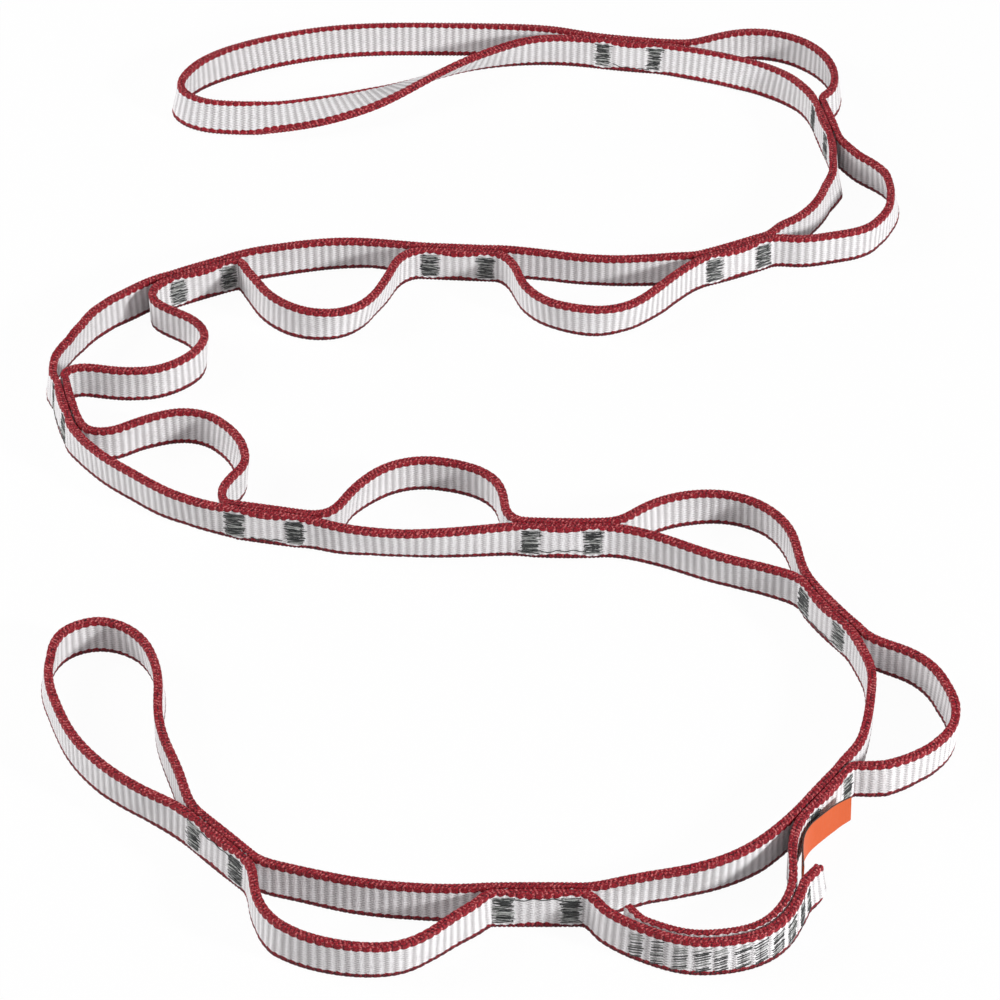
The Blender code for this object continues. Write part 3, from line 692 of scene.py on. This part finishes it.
def endLeans(name):
    if name == "large_end_loop":
        return -jointLeans[0], jointLeans[0]
    if name == "small_end_loop":
        return jointLeans[-1], -jointLeans[-1]
    number = int(name.split("_")[1])
    if name.endswith("_ply"):
        first = jointLeans[number - 1] if name.endswith("inner_ply") else -jointLeans[number]
        return first, stances[name][-1][1]
    return jointLeans[number - 1], jointLeans[number]


def stanceAt(name, shares):
    # the lean in radians and the sideways place in metres
    first, last = endLeans(name)
    table = [(0, first, 0), (0.1, first, 0), *stances[name]]
    if not name.endswith("_ply"):
        table += [(0.92, last, 0), (1, last, 0)]
    table = np.array(sorted(table), float)
    return (np.radians(np.interp(shares, table[:, 0], table[:, 1])),
            np.interp(shares, table[:, 0], table[:, 2]) / 1000)


# the tape is one length: it runs from the outer ply's cut end to the inner ply's, in this order
tapeOrder = [
    ("pocket_10_outer_ply", -1), ("pocket_11_loop", 1), ("small_end_loop", -1),
    *((f"pocket_{number:02d}_rail", -1) for number in range(pockets, 0, -1)),
    ("large_end_loop", 1),
    *((f"pocket_{number:02d}_loop", 1) for number in range(1, chain["splicePocket"])),
    ("pocket_10_inner_ply", 1),
]


def ribStarts():
    # each strand's first rib count, which way it counts, and if it is past the half turn
    starts, reached, turned = {}, 0.0, False
    for name, way in tapeOrder:
        ribs = lengthsAlong(routes[name])[-1] / tape["ribPitch"]
        starts[name] = (reached if way > 0 else reached + ribs, way, turned)
        reached += ribs
        turned = turned or name == "large_end_loop"
    return starts


ribsFrom = ribStarts()


def ribsAt(name, place):
    start, way, _ = ribsFrom[name]
    return start + way * place / tape["ribPitch"]


def twistAt(name, shares):
    if name != "large_end_loop":
        return np.full(len(shares), math.pi if ribsFrom[name][2] else 0.0)
    turned = curveThrough(twistShares, (1, 0), (1, 0))
    return math.pi * np.interp(shares, turned[:, 0], turned[:, 1])


def pullOf(fromTack):
    # a tack draws the white up and down towards the red, and less so the further away
    return np.exp(-(fromTack / tape["pullReach"])**2)


# how far the inner ply's white is drawn up, and the shares of its length over which that begins
sewnPly = {"pull": 1.6, "shares": (0.25, 0.35)}
cutEnd = {
    "length": 0.0060,        # how far the outer ply's worn corner reaches along it
    "depthShare": 0.62,      # how much of its lower half is gone at the very end
}


def strandRows(name):
    # from tack to tack, or from tack to cut end
    route = routes[name]
    whole = lengthsAlong(route)[-1]
    first = chain["tackSpacing"] / 2
    last = whole if name.endswith("_ply") else whole - first
    firstRib, lastRib = ribsAt(name, first), ribsAt(name, last)
    points, places, ribs = ribRows(route, first, last, firstRib, lastRib)
    lean, sways = stanceAt(name, places / whole)
    tilts = twistAt(name, places / whole) + lean
    pull = pullOf(places - first) + (0 if name.endswith("_ply") else pullOf(places - last))
    if name.endswith("inner_ply"):
        pull = np.maximum(pull, sewnPly["pull"] * smoothStep(places / whole, *sewnPly["shares"]))
    lift = tape["width"] / 2 if name == "large_end_loop" else 0.0
    rows = rowsOf(points, ribs, tilts, pull, lift, sways)
    if name.endswith("outer_ply"):
        toEnd = np.clip((last - places) / cutEnd["length"], 0, 1)
        rows["drawn"] = cutEnd["depthShare"] * (1 - np.sqrt(1 - (1 - toEnd)**2))
    return rows


bodyNames = ["large_end"] + [f"pocket_{number:02d}" for number in range(1, pockets + 1)] + ["small_end"]


def bodyOf(name):
    # a strand's name starts with its body's
    return "_".join(name.split("_")[:2])


for name in routes:
    piece = tapePiece("tape_" + name, strandRows(name))
    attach(piece, bodyOf(name))
    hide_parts(name)
print("strands made:", len(routes))


# the doubled tape of each joint, which bends between its two tacks

def strandAt(number, side, later):
    # the strand on one side of a joint, before or after it, and whether its route starts there
    if not later and number == 1:
        return "large_end_loop", side < 0
    if later and number == joints:
        return "small_end_loop", side < 0
    pocket = number if later else number - 1
    if side < 0:
        return f"pocket_{pocket:02d}_rail", later
    if pocket == chain["splicePocket"]:
        return f"pocket_{pocket}_inner_ply" if later else f"pocket_{pocket}_outer_ply", True
    return f"pocket_{pocket:02d}_loop", later


def ribAtTack(number, side, later):
    # the rib count at a joint's first or later tack, and if the tape is turned over there
    name, starts = strandAt(number, side, later)
    half = chain["tackSpacing"] / 2
    place = half if starts else lengthsAlong(routes[name])[-1] - half
    return ribsAt(name, place), ribsFrom[name][2] or (name == "large_end_loop" and not starts)


def jointEnds(number, side=0):
    # the middles of a joint's two tacks on one ply, and the tape's two directions
    before, after = headingBefore(number), headingAfter(number)
    place, half = jointPlace(number) - shift, chain["tackSpacing"] / 2
    first = place - half * before + side * plyOffset * leftOf(before)
    last = place + half * after + side * plyOffset * leftOf(after)
    return first, last, before, after


def jointRows(number, side):
    first, last, before, after = jointEnds(number, side)
    route = curveThrough([first, last], before, after)
    whole = lengthsAlong(route)[-1]
    firstRib, turned = ribAtTack(number, side, False)
    lastRib, _ = ribAtTack(number, side, True)
    points, places, ribs = ribRows(route, 0, whole, firstRib, lastRib)
    lean = math.radians(jointLeans[number - 1])
    tilts = np.full(len(points), lean + (math.pi if turned else 0))
    pull = pullOf(places) + pullOf(places - whole) - chain["slackShare"] * pullOf(places - whole / 2)
    rows = rowsOf(points, ribs, tilts, pull)
    rows["calm"] = np.ones(len(points))
    return rows


def bendPoints(number):
    first, last, before, after = jointEnds(number)
    middle, height = jointPlace(number) - shift, tape["width"] / 2
    start, end = middle - chain["bendHalf"] * before, middle + chain["bendHalf"] * after
    return (*start, height), (*end, height)


for number in range(1, joints + 1):
    for side, title in ((-1, "rail_ply"), (1, "loop_ply")):
        piece = tapePiece(f"tape_joint_{number:02d}_{title}", jointRows(number, side))
        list(bendPoints(number))
        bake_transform(piece)
print("joints made:", joints)


# the stitching

thread = {
    "radius": 0.00015,
    "sides": 5,
    "length": 0.0060,
    "height": 0.0085,
    "strokes": (18, 16, 13),
    "slants": (-0.10, 0.13, 0.02),
    "raggedEnds": 0.0019,
    "bulge": 0.00010,
    "dive": 0.0004,          # how deep a stroke's ends go into the tape
    "paleShare": 0.30,       # of a tack's strokes, painted pale as highlights
    "darkTones": (0, 0.25),
    "paleTones": (0.6, 1.0),
    "strokeWhim": 0.3,       # how far up or down one strays, in strokes
    # each layer's strokes are painted darker the lower the layer lies, as shade under the layers above
    "layerShadeTones": (0.7, 0.85, 1.0),
    "seat": 0.4,             # the first layer's height over the face, in radii
    "layerRise": 0.8,        # and each further layer's over it
    # the thread is dark grey: its near-black strokes are painted shade between threads and its pale ones
    # painted highlights, given out at random
    "dark": (0.004, 0.006, 0.006, 1),
    "light": (0.46, 0.48, 0.46, 1),
}


def greyThread():
    made, shader, start = newMaterial("grey_thread", roughness=0.38, specular=0.6, sheen=0.1)
    # each stroke's random tone picks between painted shade and painted highlight
    tone = start.attribute("tone") + (start.noise(1500) - 0.5) * 0.7
    feed(shader, Base_Color=mixColours(tone.smooth(0.15, 0.95), thread["dark"], thread["light"]))
    return made


threadMaterial = greyThread()


def threadPiece(name, points, outward, tones, radius):
    # one round thread through its points: outward is the way the tape's face looks at each
    points, outward = np.vstack(points), np.vstack(outward)
    mesh, row, side = unitTube(name, len(points) - 1, thread["sides"])
    tangents = unitRows(np.gradient(points, lengthsAlong(points), axis=0))
    along = unitRows(np.cross(tangents, outward + 0.001))  # so that it is never nought
    lifted = np.cross(along, tangents)
    turns = (2 * math.pi * side / thread["sides"])[:, None]
    places = points[row] + radius * (np.sin(turns) * along[row] + np.cos(turns) * lifted[row])
    bm = bmesh.new()
    mesh.vertices.foreach_set("co", places.ravel())
    bm.from_mesh(mesh)
    bmesh.ops.recalc_face_normals(bm, faces=bm.faces)
    bm.to_mesh(mesh)
    bm.free()
    attributes = {"tone": np.concatenate(tones)[row]}
    return finishMesh(mesh, places, attributes, threadMaterial, sharpAngle=70)


# the share of a stroke at each of its points, and how far out it lies there
strokeShape = ((0.0, -1.0), (0.12, 0.7), (0.5, 1.0), (0.88, 0.7))


def zigzag(length, height, strokes, ragged, chance, slant=0.0, oneWay=False):
    # places along, up and out of the tape, and tones: a stroke dives in at its ends, and where all run
    # one way the thread comes back unseen
    points, tones = [], []
    rise = height / strokes
    shape = strokeShape + ((1.0, -1.0),) if oneWay else strokeShape
    for stroke in range(strokes):
        way = 1 if stroke % 2 or oneWay else -1
        reach = length / 2 + ragged * (chance.random()**2 - 0.25)
        low = -height / 2 + rise * (stroke + chance.uniform(-thread["strokeWhim"], thread["strokeWhim"]))
        pale = chance.random() < thread["paleShare"]
        tone = chance.uniform(*thread["paleTones" if pale else "darkTones"])
        for share, out in shape:
            along = way * reach * (2 * share - 1)
            lift = thread["bulge"] * out if out > 0 else -thread["dive"] * (2 if oneWay else 1)
            climb = 0 if oneWay else rise * share
            points.append((along, low + climb + slant * along, lift))
            tones.append(tone)
    return np.array(points), np.array(tones)


def faceOf(direction, lean, side):
    # the ways up and out of the tape's left face, side +1, or its right one, and its level left
    left, level = np.array([*leftOf(direction), 0]), np.array([0, 0, 1])
    up = math.cos(lean) * level + math.sin(lean) * left
    return up, side * (math.cos(lean) * left - math.sin(lean) * level), left


def faceFrame(number, letter, side):
    # a tack's middle on one face of the doubled tape, and its directions along, up and out
    first, last, before, after = jointEnds(number)
    place, direction = (first, before) if letter == "a" else (last, after)
    up, out, _ = faceOf(direction, math.radians(jointLeans[number - 1]), side)
    off = plyOffset + tape["thickness"] / 2 - tape["sewnPinch"] - 0.4 * tape["ribDepth"]
    middle = np.array([*place, tape["width"] / 2]) + off * out
    return middle, np.array([*direction, 0]), up, out


def onFace(pattern, middle, along, up, out, layer):
    lift = thread["radius"] * (thread["seat"] + thread["layerRise"] * layer) + pattern[:, 2]
    return middle + pattern[:, :1] * along + pattern[:, 1:2] * up + lift[:, None] * out


def sewnThread(title, stitches, radius):
    # each pattern comes with its tones, its face's frame and its layer
    points = [onFace(pattern, *facing, layer) for pattern, _, facing, layer in stitches]
    outward = [np.tile(facing[3], (len(pattern), 1)) for pattern, _, facing, _ in stitches]
    return threadPiece("thread_" + title, points, outward, [stitch[1] for stitch in stitches], radius)


chance = np.random.default_rng(11)
for number in range(1, joints + 1):
    for letter in "ab":
        stitches = []
        for side in (-1, 1):
            for layer, strokes in enumerate(thread["strokes"]):
                pattern, tone = zigzag(thread["length"], thread["height"], strokes, thread["raggedEnds"],
                                       chance, slant=thread["slants"][layer])
                # painted shade: the lower layers' strokes darker
                tone *= thread["layerShadeTones"][layer]
                stitches.append((pattern, tone, faceFrame(number, letter, side), layer))
        title = f"bar_tack_{number:02d}{letter}"
        tack = sewnThread(title, stitches, thread["radius"])
        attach(tack, bodyNames[number - 1 if letter == "a" else number])
        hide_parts(title)
print("bar tacks made:", 2 * joints)


# loose dark threads along a joint's camera side: the shares of the way between its tacks where each
# starts and ends, its heights there and how far it bows
looseThreads = {
    1: (0.20, 0.90, 0.0030, 0.0024, -0.0006),
    6: (0.16, 0.86, 0.0024, 0.0032, -0.0004),
    7: (0.26, 0.80, 0.0020, 0.0028, -0.0003),
    8: (0.16, 0.90, 0.0026, 0.0032, 0.0004),
    9: (0.10, 0.90, 0.0022, 0.0025, -0.0003),
    11: (0.10, 0.90, 0.0101, 0.0098, 0.0003),
    12: (0.10, 0.90, 0.0098, 0.0101, 0.0003),
}
looseWave = {"points": 25, "height": 0.0003, "turns": 17}


def looseThread(number, firstShare, lastShare, firstHeight, lastHeight, bow):
    first, last, before, after = jointEnds(number)
    route = curveThrough([first, last], before, after)
    along = np.linspace(firstShare, lastShare, looseWave["points"])
    side = -1 if leftOf(after)[1] > 0 else 1
    left = np.array([*leftOf(unit(last - first)), 0])
    lean = math.radians(jointLeans[number - 1])
    run = (along - firstShare) / (lastShare - firstShare)
    heights = firstHeight + (lastHeight - firstHeight) * run + bow * (1 - (2 * run - 1)**2)
    heights += looseWave["height"] * np.sin(run * looseWave["turns"] + number)
    off = side * (plyOffset + tape["thickness"] / 2 + thread["radius"] / 2)
    off = off + math.sin(lean) * (heights - tape["width"] / 2)
    flat = pointsAt(along * lengthsAlong(route)[-1], route)
    points = np.column_stack([flat, heights]) + off[:, None] * left
    outward, tones = np.tile(side * left, (len(points), 1)), np.zeros(len(points))
    return threadPiece(f"thread_loose_{number:02d}", [points], [outward], [tones], thread["radius"])


for number, settings in looseThreads.items():
    loose = looseThread(number, *settings)
    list(bendPoints(number))
    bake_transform(loose)
print("loose threads made:", len(looseThreads))


# the splice's row of zigzags, on the outer face of one ply and the inner face of the other

splice = {
    "placeShares": (0.227, 0.295, 0.369, 0.433, 0.491, 0.544, 0.608, 0.659, 0.72, 0.787, 0.853),
    "length": 0.0048,
    "height": 0.0080,
    "strokes": 9,
    "ragged": 0.0010,
    "slant": 0.26,           # to the right in the photo
    "threadShare": 1.35,     # how thick its thread is beside a bar tack's
    "toneShare": 0.7,
}


def spliceFrames(name):
    # where each zigzag sits on a ply, on the face to the right of its route
    line = spliceLine() - shift
    route = routes[name]
    frames = []
    for place in np.array(splice["placeShares"]) * lengthsAlong(line)[-1]:
        spot = pointsAt([place], line)[0]
        nearest = int(np.linalg.norm(route - spot, axis=1).argmin())
        direction = unit(route[min(nearest + 1, len(route) - 1)] - route[nearest - 1])
        share = lengthsAlong(route)[nearest] / lengthsAlong(route)[-1]
        lean, sway = (values[0] for values in stanceAt(name, [share]))
        up, out, left = faceOf(direction, lean, -1)
        middle = np.array([*route[nearest], tape["width"] / 2]) + sway * left
        middle += (tape["thickness"] / 2 - 0.5 * tape["ribDepth"]) * out
        frames.append((middle, np.array([*direction, 0]), up, out))
    return frames


plyFrames = [spliceFrames(f"pocket_10_{ply}_ply") for ply in ("outer", "inner")]
cadTacks = sum(name.startswith("splice_tack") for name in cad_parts)
for index, facings in enumerate(zip(*plyFrames)):
    stitches, title = [], f"splice_tack_{index + 1:02d}"
    for facing, slope in zip(facings, (splice["slant"], -splice["slant"])):
        pattern, tone = zigzag(splice["length"], splice["height"], splice["strokes"], splice["ragged"],
                               chance, slant=slope, oneWay=True)
        stitches.append((pattern, tone * splice["toneShare"], facing, 0))
    tack = sewnThread(title, stitches, thread["radius"] * splice["threadShare"])
    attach(tack, "pocket_10")
    if index < cadTacks:
        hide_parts(title)
print("splice tacks made:", len(splice["placeShares"]))


# the side label, a bare woven ribbon

label = {
    "height": 0.0090,
    "thickness": 0.0005,
    "lift": 0.0006,
    "step": 0.0006,
    "sides": 28,
    "picksPitch": 0.003,     # the length of five of its crosswise threads
    "lengthwise": 14,        # threads in half its height
    "bump": 0.00008,
    "leanPlace": 0.004,      # how far up it the leaning turns
    "orange": (0.59, 0.089, 0.009, 1),
    "orangeDark": (0.44, 0.066, 0.010, 1),
    # the colour of the painted shade along the ribbon's top edge
    "border": (0.030, 0.016, 0.013, 1),
}
# the share of the ribbon's length, degrees its top leans to the tape and millimetres it sits that way
labelStance = ((0, 0, 0), (0.30, 2, 0), (0.55, 8, 0), (0.80, 8, -0.3), (1, 2, -0.3))


def orangeRibbon():
    made, shader, start = newMaterial("orange_ribbon", roughness=0.55, specular=0.4, sheen=0.1)
    height = start.attribute("height")
    picks = (start.attribute("ribs") * 5).wave()
    ends = (height * label["lengthwise"]).wave()
    threads = picks.smooth(0.5, 1.0) * 0.35 + ends.smooth(0.6, 1.0) * 0.3
    cloth = mixColours(threads, label["orange"], label["orangeDark"])
    # painted shade along the ribbon's top edge
    colour = mixColours(height.smooth(0.93, 0.97), cloth, label["border"])
    raised = {"Height": picks * ends, "Distance": label["bump"], "Strength": 0.6}
    bump = start.node("ShaderNodeBump", {}, raised)
    feed(shader, Base_Color=colour, Normal=bump)
    return made


def labelPiece():
    route = curveAlong(aroundJoint(chain["splicePocket"], labelShares)) - shift
    whole = lengthsAlong(route)[-1]
    places = np.linspace(0, whole, math.ceil(whole / label["step"]) + 1)
    middles = pointsAt(places, route)
    mesh, row, side = unitTube("side_ribbon", len(middles) - 1, label["sides"])
    left = leftsAlong(middles)
    turns = 2 * math.pi * side / label["sides"]
    half = label["height"] / 2
    across = label["thickness"] / 2 * np.clip(np.sin(turns) * 3, -1, 1)
    height = half * np.clip(np.cos(turns) * 1.02, -1, 1)
    shares, degrees, sways = np.array(labelStance, float).T
    lean = np.radians(np.interp(places / whole, shares, degrees))[row]
    sway = np.interp(places / whole, shares, sways)[row] / 1000
    out = across * np.cos(lean) + (height + half) * np.sin(lean) + sway - label["leanPlace"] * np.sin(lean)
    flat = middles[row] + out[:, None] * left[row]
    rise = label["lift"] + (height + half) * np.cos(lean) - across * np.sin(lean)
    attributes = {"ribs": places[row] / label["picksPitch"], "height": height / half}
    return finishMesh(mesh, np.column_stack([flat, rise]), attributes, orangeRibbon(), sharpAngle=50)


ribbon = labelPiece()
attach(ribbon, "label")
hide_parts("side_label")
print("label made")


# the floor, the light and the camera

studio = {
    "floorSize": 12.0,
    "floorColour": (0.92, 0.92, 0.92, 1),
    "white": (1, 1, 1, 1),
    "whiteShare": 0.96,      # how much of the floor the camera sees as plain white
    "sky": 0.29,
    "skyTint": (1, 0.935, 0.945, 1),
    "aim": (0, 0, 0.006),    # what the lamps look at
    "elevation": 37.4,
    "distance": 1.4061,
    "focalShare": 4.36,      # focal length in picture widths
    "sensor": 36.0,
    "target": (0.005236, -0.026887, 0.0),
}


def seenRays(start):
    # 1 for the rays that show the backdrop itself
    kinds = ("Camera", "Glossy", "Transmission")
    straight, mirrored, through = (
        start.node("ShaderNodeLightPath", output=f"Is {kind} Ray") for kind in kinds)
    return start.math("MAXIMUM", straight, start.math("MAXIMUM", mirrored, through))


def floorMaterial():
    made, shader, start = newMaterial("pale_floor", roughness=0.9, specular=0.1)
    shader.inputs["Base Color"].default_value = studio["floorColour"]
    white = start.node("ShaderNodeEmission", {}, {"Color": studio["white"], "Strength": 1.0})
    seen = seenRays(start) * studio["whiteShare"]
    plain = Wire(start.tree, shader.outputs[0])
    mixed = start.node("ShaderNodeMixShader", {}, {0: seen, 1: plain, 2: white})
    output = made.node_tree.nodes["Material Output"]
    made.node_tree.links.new(mixed.socket, output.inputs["Surface"])
    return made


def makeFloor():
    bm = bmesh.new()
    bmesh.ops.create_grid(bm, x_segments=1, y_segments=1, size=studio["floorSize"] / 2)
    mesh = bpy.data.meshes.new("floor")
    bm.to_mesh(mesh)
    bm.free()
    mesh.materials.append(floorMaterial())
    placed("floor", mesh)


def makeWorld():
    world = bpy.data.worlds.new("studio")
    bpy.context.scene.world = world
    world.use_nodes = True
    start = Wire(world.node_tree)
    seen = seenRays(start)
    background = world.node_tree.nodes["Background"]
    tint = mixColours(seen, studio["skyTint"], studio["white"])
    feed(background, Color=tint, Strength=studio["sky"] + seen * (1 - studio["sky"]))


def softLight(name, azimuth, elevation, distance, size, power):
    # azimuth is to the right of the camera's side, seen from the object
    turn, rise = math.radians(azimuth), math.radians(elevation)
    flat = distance * math.cos(rise)
    lamp = bpy.data.lights.new(name, "AREA")
    lamp.shape = "SQUARE"
    lamp.size = size
    lamp.energy = power
    made = placed(name, lamp)
    made.location = flat * math.sin(turn), -flat * math.cos(turn), distance * math.sin(rise)
    aim = Vector(studio["aim"]) - made.location
    made.rotation_euler = aim.to_track_quat("-Z", "Y").to_euler()


def makeCamera():
    lens = bpy.data.cameras.new("camera")
    lens.sensor_width = studio["sensor"]
    lens.lens = studio["focalShare"] * studio["sensor"]
    made = placed("camera", lens)
    rise = math.radians(studio["elevation"])
    back = Vector((0, -math.cos(rise), math.sin(rise)))
    made.location = Vector(studio["target"]) + studio["distance"] * back
    made.rotation_euler = (math.pi / 2 - rise, 0, 0)
    bpy.context.scene.camera = made


makeFloor()
makeWorld()
softLight("key", azimuth=60, elevation=21, distance=1.8, size=0.22, power=27)
softLight("left", azimuth=-98, elevation=30, distance=1.6, size=0.9, power=19)
makeCamera()
bpy.context.scene.view_settings.view_transform = "Standard"
print("studio made")
